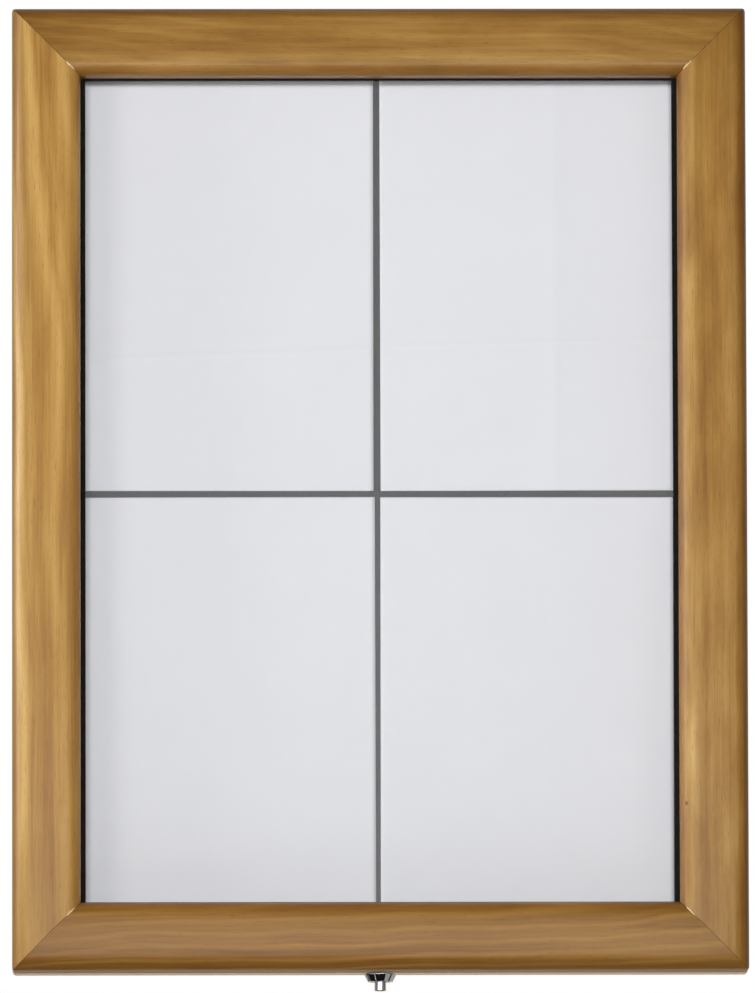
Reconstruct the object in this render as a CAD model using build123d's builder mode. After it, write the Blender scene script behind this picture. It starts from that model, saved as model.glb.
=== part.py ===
# Wall-mounted information display case for four A4 sheets.
# A wooden door with a clear pane swings up on a piano hinge in front of a shallow aluminium case.
# A cam lock in the underside of the case holds the door shut.
#
# Frame: X to the right, Z up, and the front faces -Y.
# The origin is level with the door's centre, on the rear face, which lies on the wall at Y = 0.

import math
import os

from build123d import *

os.makedirs("parts", exist_ok=True)

# The sheets and how loosely they lie
sheet_width = 210.0
sheet_height = 297.0
sheet_thickness = 0.2
sheet_gap = 4.6
sheet_side_margin = 1.7
sheet_end_cover = 2.3
sheet_shift = 1.2
sheet_play = 0.6
sheet_skew_deg = 0.12

# The door's wooden frame
rail_width = 49.0
door_thickness = 28.0
edge_round = 11.0
face_crown = 0.5
corner_round = 3.0

# The pane, its gasket and its clips
rebate_width = 8.0
pane_thickness = 3.0
pane_clearance = 0.5
gasket_thickness = 1.5
gasket_show_sides = 3.5
gasket_show_ends = 1.3
clip_length = 18.0
clip_width = 12.0
clip_thickness = 1.0
clip_corner = 2.0
clip_grip = 3.5
clips_per_side = 3
clips_per_end = 2
clip_setback = 88.0
clip_screw_radius = 1.4
clip_screw_length = 12.0
clip_head_radius = 2.6
clip_head_height = 1.5

# The tongues in the door's mitres
biscuit_length = 44.0
biscuit_width = 16.0
biscuit_thickness = 4.0
biscuit_clearance = 0.1
biscuit_inset = 7.0

# The case behind the door
case_depth = 23.0
door_gap = 2.0
case_wall = 2.0
flange_width = 11.0
ledge_width = 12.0
ledge_thickness = 1.5
panel_thickness = 1.5
panel_clearance = 0.3
panel_screw_setback = 113.0
panel_screws_per_side = 3
panel_screws_per_end = 2
panel_screw_radius = 1.5
panel_screw_length = 6.0
panel_head_radius = 3.0
panel_head_height = 1.3
panel_head_sink = 0.1
wall_hole_radius = 3.0
wall_hole_inset_x = 30.0
wall_hole_inset_z = 28.0

# The keys in the case's corners
key_leg = 58.0
key_width = 8.0
key_thickness = 4.0
key_screw_setback = 16.0
key_screw_radius = 1.5
key_screw_short = 0.5
key_head_radius = 2.6
key_head_height = 1.5

# The foam seal between case and door
seal_width = 6.0
seal_clearance = 0.3
seal_edge = 2.5

# The piano hinge along the top
leaf_thickness = 0.8
leaf_width = 11.0
hinge_end = 11.0
knuckle_count = 21
knuckle_radius = 3.0
knuckle_lift = 0.3
knuckle_gap = 0.3
pin_radius = 1.2
pin_clearance = 0.06
pin_overhang = 0.5
hinge_screw_count = 7
hinge_screw_setback = 24.0
hinge_screw_radius = 1.3
hinge_head_radius = 2.3
hinge_head_height = 1.1
door_screw_length = 13.0
case_screw_length = 5.0

# The lock in the underside
lock_setback = 11.5
bezel_radius = 11.45
bezel_tip_radius = 8.8
bezel_rim = 0.6
bezel_height = 5.8
bezel_edge = 0.3
plug_radius = 4.1
plug_stick_out = 6.4
plug_end_round = 0.6
plug_clearance = 0.06
keyway_width = 1.6
keyway_length = 5.4
keyway_depth = 4.0
housing_radius = 6.0
housing_spigot = 3.0
housing_clearance = 0.1
nut_across_flats = 15.0
nut_thickness = 4.0
cam_gap = 0.2
cam_width = 9.0
cam_thickness = 2.0
cam_tip_inner = 10.5
cam_tip_thickness = 1.5
cam_tip_width = 8.0
cam_tip_height = 6.0
cam_square = 5.0
cam_clearance = 0.05
cam_screw_radius = 1.5
cam_screw_length = 7.0
cam_head_radius = 3.4
cam_head_height = 1.8

# The keeper on the door that the cam hooks
hook_clearance = 0.9
keeper_thickness = 1.5
keeper_lip_width = 6.8
keeper_plate_width = 40.0
keeper_plate_height = 10.0
keeper_lift = 1.5
keeper_margin = 1.8
keeper_engage = 3.6
keeper_screw_spread = 27.0
keeper_screw_radius = 1.5
keeper_screw_length = 12.0
keeper_head_radius = 2.8
keeper_head_height = 1.6

# Details that several pieces share
screw_clearance = 0.05
recess_width = 0.8
recess_length = 3.0
recess_depth = 0.9

# Sizes and places that follow from the ones above
opening_width = 2 * sheet_width + sheet_gap + 2 * sheet_side_margin
opening_height = 2 * sheet_height + sheet_gap - 2 * sheet_end_cover
half_width = opening_width / 2 + rail_width
half_height = opening_height / 2 + rail_width
case_front = -case_depth
door_back = case_front - door_gap
rebate_depth = pane_thickness + gasket_thickness
pane_width = opening_width + 2 * (rebate_width - pane_clearance)
pane_height = opening_height + 2 * (rebate_width - pane_clearance)
hinge_length = 2 * (half_width - hinge_end)
hinge_offset = knuckle_radius + knuckle_lift
hinge_axis_y = door_back + hinge_offset
hinge_axis_z = half_height - hinge_offset
case_top = hinge_axis_z - hinge_offset
case_bottom = -half_height
case_height = case_top - case_bottom
case_middle = (case_top + case_bottom) / 2
panel_front = -panel_thickness
ledge_front = panel_front - ledge_thickness
keeper_floor = -pane_height / 2 - keeper_margin - keeper_plate_height
tip_top = keeper_floor - keeper_lift
cam_top = tip_top - cam_tip_height
cam_floor = cam_top - cam_thickness
housing_rise = cam_floor - cam_gap - case_bottom
lip_floor = tip_top - keeper_engage
lip_front = -lock_setback - cam_tip_inner + hook_clearance
bezel_floor = case_bottom - bezel_height
plug_floor = bezel_floor - plug_stick_out

upwards = (Align.CENTER, Align.CENTER, Align.MIN)
downwards = (Align.CENTER, Align.CENTER, Align.MAX)


def facing_front(level, x=0, z=0):
    """A plane parallel to the wall: local X right, local Y up, normal to the front."""
    return Plane(origin=(x, level, z), x_dir=(1, 0, 0), z_dir=(0, -1, 0))


def facing_wall(level):
    """A plane parallel to the wall with its normal towards it: local X right, local Y down."""
    return Plane(origin=(0, level, 0), x_dir=(1, 0, 0), z_dir=(0, 1, 0))


def facing_down(level):
    """A level plane with its normal downwards: local X right, local Y to the front."""
    return Plane(origin=(0, 0, level), x_dir=(1, 0, 0), z_dir=(0, 0, -1))


def rail_places(top, bottom):
    """The four sides of a frame: name, middle of the outer edge, way along it, way inwards, half length."""
    middle = (top + bottom) / 2
    return (
        ("top", (0, top), (-1, 0, 0), (0, 0, -1), half_width),
        ("bottom", (0, bottom), (1, 0, 0), (0, 0, 1), half_width),
        ("left", (-half_width, middle), (0, 0, -1), (1, 0, 0), (top - bottom) / 2),
        ("right", (half_width, middle), (0, 0, 1), (-1, 0, 0), (top - bottom) / 2),
    )


def section_plane(edge, level, along, inwards):
    """A plane across a rail: local X runs inwards from the outer edge, local Y to the front."""
    return Plane(origin=(edge[0], level, edge[1]), x_dir=inwards, z_dir=along)


def mitre_plane(edge, level, along):
    """A plane parallel to the wall: local X runs along the rail's outer edge, local Y inwards."""
    return Plane(origin=(edge[0], level, edge[1]), x_dir=along, z_dir=(0, -1, 0))


def mitred_face(plane, half_length, width):
    """The trapezium that a mitred rail fills when it is seen from the front."""
    with BuildSketch(plane) as face:
        with BuildLine():
            Polyline((-half_length, 0), (half_length, 0), (half_length - width, width),
                     (width - half_length, width), close=True)
        make_face()
    return face.sketch


def spread(count, length):
    """Evenly spaced places along a length, centred on zero."""
    return [length * (index / (count - 1) - 0.5) for index in range(count)]


def cross_recess(points, level):
    """A crosswise recess in each screw head, cut along the plane's normal from the given level."""
    for long_x, long_y in ((recess_length, recess_width), (recess_width, recess_length)):
        with Locations(*[(x, y, level) for x, y in points]):
            Box(long_x, long_y, recess_depth, align=upwards, mode=Mode.SUBTRACT)


def flush_screws(points, head_radius, head_height, radius, length):
    """Countersunk screws: heads flush with the plane, shanks along its normal."""
    with Locations(*points):
        Cone(head_radius, radius, head_height, align=upwards)
        Cylinder(radius, length, align=upwards)
    cross_recess(points, 0)


def flush_holes(points, head_radius, head_height, radius, length):
    """The holes that flush screws sit in, with their clearance all round."""
    with Locations(*points):
        Cone(head_radius + screw_clearance, radius + screw_clearance, head_height, align=upwards,
             mode=Mode.SUBTRACT)
        Cylinder(radius + screw_clearance, length + screw_clearance, align=upwards, mode=Mode.SUBTRACT)


def round_screws(points, head_radius, head_height, radius, length):
    """Screws with low heads that stand off the plane, chamfered at the rim, shanks along its normal."""
    rim = head_height / 2
    with Locations(*points):
        Cylinder(head_radius, rim, align=downwards)
        Cylinder(radius, length, align=upwards)
    with Locations(*[(x, y, -rim) for x, y in points]):
        Cone(head_radius - rim, head_radius, rim, align=downwards)
    cross_recess(points, -head_height)


def save(piece, name):
    """Label a finished piece and write it."""
    piece.part.label = name
    export_step(piece.part, f"parts/{name}.step")
    print(name, len(piece.part.solids()), round(piece.part.volume, 1))


# Places of the screws, as points on planes parallel to the wall (X, Z)
side_clip_x = pane_width / 2 - clip_grip + clip_width / 2
end_clip_z = pane_height / 2 - clip_grip + clip_width / 2
clip_rows = spread(clips_per_side, pane_height - 2 * clip_setback)
clip_columns = spread(clips_per_end, pane_width - 2 * clip_setback)
side_clips = [(side * side_clip_x, z) for side in (-1, 1) for z in clip_rows]
end_clips = [(x, side * end_clip_z) for side in (-1, 1) for x in clip_columns]
side_clip_screw_x = side_clip_x + clip_grip / 2
end_clip_screw_z = end_clip_z + clip_grip / 2
clip_screws = [(math.copysign(side_clip_screw_x, x), z) for x, z in side_clips]
clip_screws += [(x, math.copysign(end_clip_screw_z, z)) for x, z in end_clips]

keeper_screw_z = keeper_floor + keeper_plate_height / 2
keeper_screws = [(x, keeper_screw_z) for x in spread(2, keeper_screw_spread)]

door_leaf_z = hinge_axis_z - hinge_offset - leaf_width / 2
hinge_screw_columns = spread(hinge_screw_count, hinge_length - 2 * hinge_screw_setback)
door_leaf_screws = [(x, door_leaf_z) for x in hinge_screw_columns]
case_leaf_y = hinge_axis_y + hinge_offset + leaf_width / 2
case_leaf_screws = [(x, -case_leaf_y) for x in hinge_screw_columns]

ledge_middle = (case_wall + ledge_width) / 2
panel_rows = spread(panel_screws_per_side, case_height - 2 * panel_screw_setback)
panel_columns = spread(panel_screws_per_end, 2 * (half_width - panel_screw_setback))
panel_screws = [
    (side * (half_width - ledge_middle), case_middle + z) for side in (-1, 1) for z in panel_rows
]
panel_screws += [
    (x, case_middle + side * (case_height / 2 - ledge_middle)) for side in (-1, 1) for x in panel_columns
]

key_inset = case_wall + panel_clearance
key_corner_x = half_width - key_inset
key_corner_z = case_height / 2 - key_inset
key_screws = []
for side_x in (-1, 1):
    for side_z in (-1, 1):
        key_screws.append((side_x * (key_corner_x - key_leg + key_screw_setback),
                           case_middle + side_z * (key_corner_z - key_width / 2)))
        key_screws.append((side_x * (key_corner_x - key_width / 2),
                           case_middle + side_z * (key_corner_z - key_leg + key_screw_setback)))


# The mitre tongues: each lies parallel to the wall across a corner's 45 degree joint
def biscuit_planes():
    """A plane at the middle of each mitre, with local X along the joint."""
    middle_x = half_width - rail_width / 2
    middle_z = half_height - rail_width / 2
    level = door_back - biscuit_inset
    return [
        Plane(origin=(side_x * middle_x, level, side_z * middle_z), x_dir=(side_x, 0, side_z),
              z_dir=(0, -1, 0))
        for side_x in (-1, 1) for side_z in (-1, 1)
    ]


with BuildPart() as mitre_biscuits:
    for plane in biscuit_planes():
        with BuildSketch(plane):
            SlotOverall(biscuit_length, biscuit_width)
        extrude(amount=biscuit_thickness)
save(mitre_biscuits, "mitre_biscuits")


def door_section(plane):
    """The section of a door rail, from the outer edge inwards and from the back to the front.
    A wide crowned face runs smoothly into a round at each edge, and the pane's rebate is at the back."""
    half_face = rail_width / 2 - edge_round
    reach = (half_face**2 + face_crown**2) / (2 * face_crown)
    lean = math.degrees(math.atan2(half_face, reach - face_crown))
    round_level = door_thickness - face_crown - edge_round
    with BuildSketch(plane) as section:
        with BuildLine():
            Line((0, 0), (0, round_level))
            CenterArc((edge_round, round_level), edge_round, 90 + lean, 90 - lean)
            CenterArc((rail_width / 2, door_thickness - reach - edge_round), reach + edge_round, 90 - lean,
                      2 * lean)
            CenterArc((rail_width - edge_round, round_level), edge_round, 0, 90 - lean)
            Polyline((rail_width, round_level), (rail_width, rebate_depth),
                     (rail_width - rebate_width, rebate_depth), (rail_width - rebate_width, 0), (0, 0))
        make_face()
    return section.sketch


# The door's four wooden rails
door_names = {"top": "door_rail_top", "bottom": "door_rail_bottom", "left": "door_stile_left",
              "right": "door_stile_right"}
for side, edge, along, inwards, half_length in rail_places(half_height, -half_height):
    section = door_section(section_plane(edge, door_back, along, inwards))
    mitred = mitred_face(mitre_plane(edge, door_back, along), half_length, rail_width)
    with BuildPart(facing_front(door_back + leaf_thickness)) as door_rail:
        extrude(section, amount=half_length, both=True)
        extrude(mitred, amount=door_thickness, mode=Mode.INTERSECT)
        with BuildSketch(facing_front(door_back)):
            RectangleRounded(2 * half_width, 2 * half_height, corner_round)
        extrude(amount=door_thickness, mode=Mode.INTERSECT)
        for plane in biscuit_planes():
            with BuildSketch(plane.offset(-biscuit_clearance)):
                SlotOverall(biscuit_length + 2 * biscuit_clearance, biscuit_width + 2 * biscuit_clearance)
            extrude(amount=biscuit_thickness + 2 * biscuit_clearance, mode=Mode.SUBTRACT)
        with BuildSketch(facing_front(door_back)):
            with Locations(*clip_screws):
                Circle(clip_screw_radius + screw_clearance)
        extrude(amount=clip_screw_length - clip_thickness + screw_clearance, mode=Mode.SUBTRACT)
        if side == "top":
            flush_holes(door_leaf_screws, hinge_head_radius, hinge_head_height, hinge_screw_radius,
                        door_screw_length)
        if side == "bottom":
            with BuildSketch(facing_front(door_back)):
                with Locations(*keeper_screws):
                    Circle(keeper_screw_radius + screw_clearance)
            extrude(amount=keeper_screw_length - keeper_thickness + screw_clearance, mode=Mode.SUBTRACT)
    save(door_rail, door_names[side])

# The pane, with the gasket between it and the rails' lip
with BuildPart() as glazing_pane:
    with BuildSketch(facing_front(door_back)):
        Rectangle(pane_width, pane_height)
    extrude(amount=pane_thickness)
save(glazing_pane, "glazing_pane")

with BuildPart() as pane_gasket:
    with BuildSketch(facing_front(door_back - pane_thickness)):
        Rectangle(pane_width, pane_height)
        Rectangle(opening_width - 2 * gasket_show_sides, opening_height - 2 * gasket_show_ends,
                  mode=Mode.SUBTRACT)
    extrude(amount=gasket_thickness)
save(pane_gasket, "pane_gasket")

# The clips that hold the pane from behind
with BuildPart() as pane_clips:
    with BuildSketch(facing_wall(door_back)):
        with Locations(*[(x, -z) for x, z in side_clips]):
            RectangleRounded(clip_width, clip_length, clip_corner)
        with Locations(*[(x, -z) for x, z in end_clips]):
            RectangleRounded(clip_length, clip_width, clip_corner)
        with Locations(*[(x, -z) for x, z in clip_screws]):
            Circle(clip_screw_radius + screw_clearance, mode=Mode.SUBTRACT)
    extrude(amount=clip_thickness)
save(pane_clips, "pane_clips")

with BuildPart(facing_front(door_back + clip_thickness)) as pane_clip_screws:
    round_screws(clip_screws, clip_head_radius, clip_head_height, clip_screw_radius, clip_screw_length)
save(pane_clip_screws, "pane_clip_screws")


def case_section(plane):
    """The section of a case rail: an outer wall, a front flange, and a ledge that the panel lies on."""
    ledge_back = panel_thickness
    ledge_face = panel_thickness + ledge_thickness
    with BuildSketch(plane) as section:
        with BuildLine():
            Polyline(
                (0, 0), (0, case_depth), (flange_width, case_depth), (flange_width, case_depth - case_wall),
                (case_wall, case_depth - case_wall), (case_wall, ledge_face), (ledge_width, ledge_face),
                (ledge_width, ledge_back), (case_wall, ledge_back), (case_wall, 0), close=True,
            )
        make_face()
    return section.sketch


# The case's four aluminium rails
for side, edge, along, inwards, half_length in rail_places(case_top, case_bottom):
    section = case_section(section_plane(edge, 0, along, inwards))
    mitred = mitred_face(mitre_plane(edge, 0, along), half_length, ledge_width)
    with BuildPart(facing_down(case_top + leaf_thickness)) as case_rail:
        extrude(section, amount=half_length, both=True)
        extrude(mitred, amount=case_depth, mode=Mode.INTERSECT)
        with BuildSketch(facing_front(0, z=case_middle)):
            RectangleRounded(2 * half_width, case_height, corner_round)
        extrude(amount=case_depth, mode=Mode.INTERSECT)
        with BuildSketch(facing_front(panel_front)):
            with Locations(*panel_screws):
                Circle(panel_screw_radius + screw_clearance)
        extrude(amount=ledge_thickness, mode=Mode.SUBTRACT)
        with BuildSketch(facing_front(panel_front)):
            with Locations(*key_screws):
                Circle(key_screw_radius + screw_clearance)
        extrude(amount=ledge_thickness, mode=Mode.SUBTRACT)
        if side == "top":
            flush_holes(case_leaf_screws, hinge_head_radius, hinge_head_height, hinge_screw_radius,
                        case_screw_length)
        if side == "bottom":
            with BuildSketch(Plane.XY.offset(case_bottom)):
                with Locations((0, -lock_setback)):
                    Circle(housing_radius + housing_clearance)
            extrude(amount=case_wall, mode=Mode.SUBTRACT)
    save(case_rail, f"case_rail_{side}")

# The back panel, which also carries the case on the wall
wall_hole_x = half_width - wall_hole_inset_x
wall_hole_z = half_height - wall_hole_inset_z
wall_holes = [(side_x * wall_hole_x, side_z * wall_hole_z) for side_x in (-1, 1) for side_z in (-1, 1)]
with BuildPart(facing_front(0)) as back_panel:
    with Locations((0, case_middle)):
        Box(2 * (half_width - case_wall - panel_clearance), case_height - 2 * (case_wall + panel_clearance),
            panel_thickness, align=upwards)
    with Locations(*wall_holes):
        Cylinder(wall_hole_radius, panel_thickness, align=upwards, mode=Mode.SUBTRACT)
    with Locations(*panel_screws):
        Cylinder(panel_head_radius + screw_clearance, panel_head_sink, align=upwards, mode=Mode.SUBTRACT)
    with Locations(*[(x, z, panel_head_sink) for x, z in panel_screws]):
        Cone(panel_head_radius + screw_clearance, panel_screw_radius + screw_clearance, panel_head_height,
             align=upwards, mode=Mode.SUBTRACT)
        Cylinder(panel_screw_radius + screw_clearance, panel_thickness, align=upwards, mode=Mode.SUBTRACT)
save(back_panel, "back_panel")

with BuildPart(facing_front(-panel_head_sink)) as back_panel_screws:
    flush_screws(panel_screws, panel_head_radius, panel_head_height, panel_screw_radius, panel_screw_length)
save(back_panel_screws, "back_panel_screws")

# The L-shaped keys that lie on the ledge in the case's corners
with BuildPart() as corner_keys:
    for side_x in (-1, 1):
        for side_z in (-1, 1):
            corner_x = side_x * key_corner_x
            corner_z = case_middle + side_z * key_corner_z
            with BuildSketch(facing_front(ledge_front)):
                with BuildLine():
                    Polyline(
                        (corner_x, corner_z),
                        (corner_x - side_x * key_leg, corner_z),
                        (corner_x - side_x * key_leg, corner_z - side_z * key_width),
                        (corner_x - side_x * key_width, corner_z - side_z * key_width),
                        (corner_x - side_x * key_width, corner_z - side_z * key_leg),
                        (corner_x, corner_z - side_z * key_leg),
                        close=True,
                    )
                make_face()
                with Locations(*key_screws):
                    Circle(key_screw_radius + screw_clearance, mode=Mode.SUBTRACT)
            extrude(amount=key_thickness)
save(corner_keys, "corner_keys")

with BuildPart(facing_wall(ledge_front - key_thickness)) as corner_key_screws:
    round_screws([(x, -z) for x, z in key_screws], key_head_radius, key_head_height, key_screw_radius,
                 key_thickness + ledge_thickness - key_screw_short)
save(corner_key_screws, "corner_key_screws")

# The foam seal: a U along the flanges of both sides and the bottom
seal_outer_x = half_width - seal_edge
seal_inner_x = seal_outer_x - seal_width
seal_outer_z = case_bottom + seal_edge
seal_inner_z = seal_outer_z + seal_width
seal_top = hinge_axis_z - hinge_offset - leaf_width - seal_edge
with BuildPart() as case_seal:
    with BuildSketch(facing_front(case_front)):
        with BuildLine():
            Polyline(
                (-seal_outer_x, seal_top), (-seal_outer_x, seal_outer_z), (seal_outer_x, seal_outer_z),
                (seal_outer_x, seal_top), (seal_inner_x, seal_top), (seal_inner_x, seal_inner_z),
                (-seal_inner_x, seal_inner_z), (-seal_inner_x, seal_top), close=True,
            )
        make_face()
    extrude(amount=door_gap - seal_clearance)
save(case_seal, "case_seal")

# The four sheets, each a little off its place: shift shares of the play, then its share of the skew
sheet_shares = {
    "sheet_top_left": (-1, 1, -0.5, 0.0, -0.4),
    "sheet_top_right": (1, 1, -0.1, 0.0, 0.5),
    "sheet_bottom_left": (-1, -1, 1.0, 0.0, 0.5),
    "sheet_bottom_right": (1, -1, -0.5, -0.3, -0.5),
}
for name, (side_x, side_z, share_x, share_z, share_skew) in sheet_shares.items():
    skew = math.radians(sheet_skew_deg * share_skew)
    middle_x = side_x * (sheet_width + sheet_gap) / 2 - sheet_shift + share_x * sheet_play
    middle_z = side_z * (sheet_height + sheet_gap) / 2 + share_z * sheet_play
    sheet_plane = Plane(origin=(middle_x, panel_front, middle_z), x_dir=(math.cos(skew), 0, math.sin(skew)),
                        z_dir=(0, -1, 0))
    with BuildPart() as sheet:
        with BuildSketch(sheet_plane):
            Rectangle(sheet_width, sheet_height)
        extrude(amount=sheet_thickness)
    save(sheet, name)


knuckle_length = hinge_length / knuckle_count - knuckle_gap


def knuckle_places(first):
    """Every second knuckle along the hinge: its middle in X."""
    pitch = hinge_length / knuckle_count
    return [(index + 0.5) * pitch - hinge_length / 2 for index in range(first, knuckle_count, 2)]


def across_hinge(x):
    """A plane square to the hinge's axis, with its origin on the axis."""
    return Plane(origin=(x, hinge_axis_y, hinge_axis_z), x_dir=(0, 1, 0), z_dir=(1, 0, 0))


def knuckle_ring(x):
    """The section of one rolled knuckle round the hinge's axis, at its middle."""
    with BuildSketch(across_hinge(x)) as ring:
        Circle(knuckle_radius)
        Circle(pin_radius + pin_clearance, mode=Mode.SUBTRACT)
    return ring.sketch


# The leaf on the door: upright against the back of the top rail
with BuildPart(facing_front(door_back + leaf_thickness)) as hinge_door_leaf:
    with Locations((0, door_leaf_z)):
        Box(hinge_length, leaf_width, leaf_thickness, align=upwards)
    with Locations(*[(x, hinge_axis_z) for x in knuckle_places(1)]):
        Box(knuckle_length, hinge_offset, leaf_thickness, align=(Align.CENTER, Align.MAX, Align.MIN))
    flush_holes(door_leaf_screws, hinge_head_radius, hinge_head_height, hinge_screw_radius, leaf_thickness)
    for x in knuckle_places(1):
        extrude(knuckle_ring(x), amount=knuckle_length / 2, both=True)
save(hinge_door_leaf, "hinge_door_leaf")

# The leaf on the case: flat on top of the top rail
with BuildPart(facing_down(case_top + leaf_thickness)) as hinge_case_leaf:
    with Locations((0, -case_leaf_y)):
        Box(hinge_length, leaf_width, leaf_thickness, align=upwards)
    with Locations(*[(x, -hinge_axis_y) for x in knuckle_places(0)]):
        Box(knuckle_length, hinge_offset, leaf_thickness, align=(Align.CENTER, Align.MAX, Align.MIN))
    flush_holes(case_leaf_screws, hinge_head_radius, hinge_head_height, hinge_screw_radius, leaf_thickness)
    for x in knuckle_places(0):
        extrude(knuckle_ring(x), amount=knuckle_length / 2, both=True)
save(hinge_case_leaf, "hinge_case_leaf")

with BuildPart() as hinge_pin:
    with BuildSketch(across_hinge(0)):
        Circle(pin_radius)
    extrude(amount=hinge_length / 2 + pin_overhang, both=True)
save(hinge_pin, "hinge_pin")

with BuildPart(facing_front(door_back + leaf_thickness)) as hinge_door_screws:
    flush_screws(door_leaf_screws, hinge_head_radius, hinge_head_height, hinge_screw_radius,
                 door_screw_length)
save(hinge_door_screws, "hinge_door_screws")

with BuildPart(facing_down(case_top + leaf_thickness)) as hinge_case_screws:
    flush_screws(case_leaf_screws, hinge_head_radius, hinge_head_height, hinge_screw_radius,
                 case_screw_length)
save(hinge_case_screws, "hinge_case_screws")

# The lock: a chrome bezel under the case, a threaded housing through its floor and a nut inside
lock_foot = Plane(origin=(0, -lock_setback, case_bottom), x_dir=(1, 0, 0), z_dir=(0, 0, 1))
with BuildPart(lock_foot) as lock_bezel:
    Cylinder(bezel_radius, bezel_rim, align=downwards)
    with Locations((0, 0, -bezel_rim)):
        Cone(bezel_tip_radius, bezel_radius, bezel_height - bezel_rim, align=downwards)
    chamfer(edges().filter_by(GeomType.CIRCLE).sort_by(Axis.Z)[0], bezel_edge)
    Cylinder(plug_radius + plug_clearance, bezel_height, align=downwards, mode=Mode.SUBTRACT)
    Cylinder(housing_radius + screw_clearance, housing_spigot, align=downwards, mode=Mode.SUBTRACT)
save(lock_bezel, "lock_bezel")

with BuildPart(lock_foot) as lock_housing:
    Cylinder(housing_radius, housing_spigot, align=downwards)
    Cylinder(housing_radius, housing_rise, align=upwards)
    Cylinder(plug_radius + plug_clearance, housing_spigot, align=downwards, mode=Mode.SUBTRACT)
    Cylinder(plug_radius + plug_clearance, housing_rise, align=upwards, mode=Mode.SUBTRACT)
save(lock_housing, "lock_housing")

with BuildPart() as lock_nut:
    with BuildSketch(lock_foot.offset(case_wall)):
        RegularPolygon(nut_across_flats / 2, 6, major_radius=False)
        Circle(housing_radius + screw_clearance, mode=Mode.SUBTRACT)
    extrude(amount=nut_thickness)
save(lock_nut, "lock_nut")

# What turns in the lock: the plug, the hook cam on its square and the cam's screw
with BuildPart() as lock_plug:
    with BuildSketch(lock_foot.offset(plug_floor - case_bottom)):
        Circle(plug_radius)
    extrude(amount=cam_floor - plug_floor)
    fillet(edges().filter_by(GeomType.CIRCLE).sort_by(Axis.Z)[0], plug_end_round)
    with BuildSketch(lock_foot.offset(cam_floor - case_bottom)):
        Rectangle(cam_square, cam_square)
    extrude(amount=cam_thickness)
    with BuildSketch(lock_foot.offset(plug_floor - case_bottom)):
        Rectangle(keyway_length, keyway_width)
    extrude(amount=keyway_depth, mode=Mode.SUBTRACT)
    with BuildSketch(lock_foot.offset(cam_top - case_bottom)):
        Circle(cam_screw_radius + screw_clearance)
    extrude(amount=-cam_screw_length - screw_clearance, mode=Mode.SUBTRACT)
save(lock_plug, "lock_plug")

with BuildPart() as lock_cam:
    cam_reach = cam_tip_inner + cam_tip_thickness
    with BuildSketch(lock_foot.offset(cam_floor - case_bottom)):
        Circle(cam_width / 2)
        with Locations((cam_reach / 2, 0)):
            Rectangle(cam_reach, cam_tip_width)
        Rectangle(cam_square + 2 * cam_clearance, cam_square + 2 * cam_clearance, mode=Mode.SUBTRACT)
    extrude(amount=cam_thickness)
    with BuildSketch(lock_foot.offset(cam_top - case_bottom)):
        with Locations((cam_reach - cam_tip_thickness / 2, 0)):
            Rectangle(cam_tip_thickness, cam_tip_width)
    extrude(amount=cam_tip_height)
save(lock_cam, "lock_cam")

with BuildPart(facing_down(cam_top)) as lock_cam_screw:
    round_screws([(0, lock_setback)], cam_head_radius, cam_head_height, cam_screw_radius,
                 cam_screw_length)
save(lock_cam_screw, "lock_cam_screw")

# The keeper on the door: a plate on the bottom rail, a leg into the case and a lip that the cam hooks
with BuildPart() as lock_keeper:
    with BuildSketch(facing_wall(door_back)):
        with Locations((0, -keeper_screw_z)):
            RectangleRounded(keeper_plate_width, keeper_plate_height, clip_corner)
        with Locations(*[(x, -z) for x, z in keeper_screws]):
            Circle(keeper_screw_radius + screw_clearance, mode=Mode.SUBTRACT)
    extrude(amount=keeper_thickness)
    with BuildSketch(Plane.YZ):
        lip_back = lip_front + keeper_thickness
        with BuildLine():
            Polyline(
                (door_back, keeper_floor), (lip_front, keeper_floor), (lip_front, lip_floor),
                (lip_back, lip_floor), (lip_back, keeper_floor + keeper_thickness),
                (door_back, keeper_floor + keeper_thickness), close=True,
            )
        make_face()
    extrude(amount=keeper_lip_width / 2, both=True)
save(lock_keeper, "lock_keeper")

with BuildPart(facing_front(door_back + keeper_thickness)) as lock_keeper_screws:
    round_screws(keeper_screws, keeper_head_radius, keeper_head_height, keeper_screw_radius,
                 keeper_screw_length)
save(lock_keeper_screws, "lock_keeper_screws")
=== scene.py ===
import math

import bmesh
import bpy
import numpy as np
from mathutils import Matrix, Vector


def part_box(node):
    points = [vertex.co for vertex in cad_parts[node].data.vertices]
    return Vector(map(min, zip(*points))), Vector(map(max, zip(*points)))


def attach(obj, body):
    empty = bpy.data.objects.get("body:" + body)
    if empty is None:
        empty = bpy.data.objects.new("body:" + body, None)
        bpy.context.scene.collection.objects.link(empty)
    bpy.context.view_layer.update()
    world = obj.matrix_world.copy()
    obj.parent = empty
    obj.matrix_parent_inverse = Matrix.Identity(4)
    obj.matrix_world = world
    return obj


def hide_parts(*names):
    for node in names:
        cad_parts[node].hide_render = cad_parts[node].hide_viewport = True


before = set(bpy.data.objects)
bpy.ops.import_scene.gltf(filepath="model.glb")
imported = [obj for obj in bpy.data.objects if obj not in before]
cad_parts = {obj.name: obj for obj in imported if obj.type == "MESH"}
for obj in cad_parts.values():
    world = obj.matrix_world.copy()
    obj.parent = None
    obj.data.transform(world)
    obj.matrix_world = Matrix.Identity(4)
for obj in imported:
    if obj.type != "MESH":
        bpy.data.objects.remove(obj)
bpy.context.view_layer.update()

print("frame loaded:", len(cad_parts), "nodes")


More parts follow.
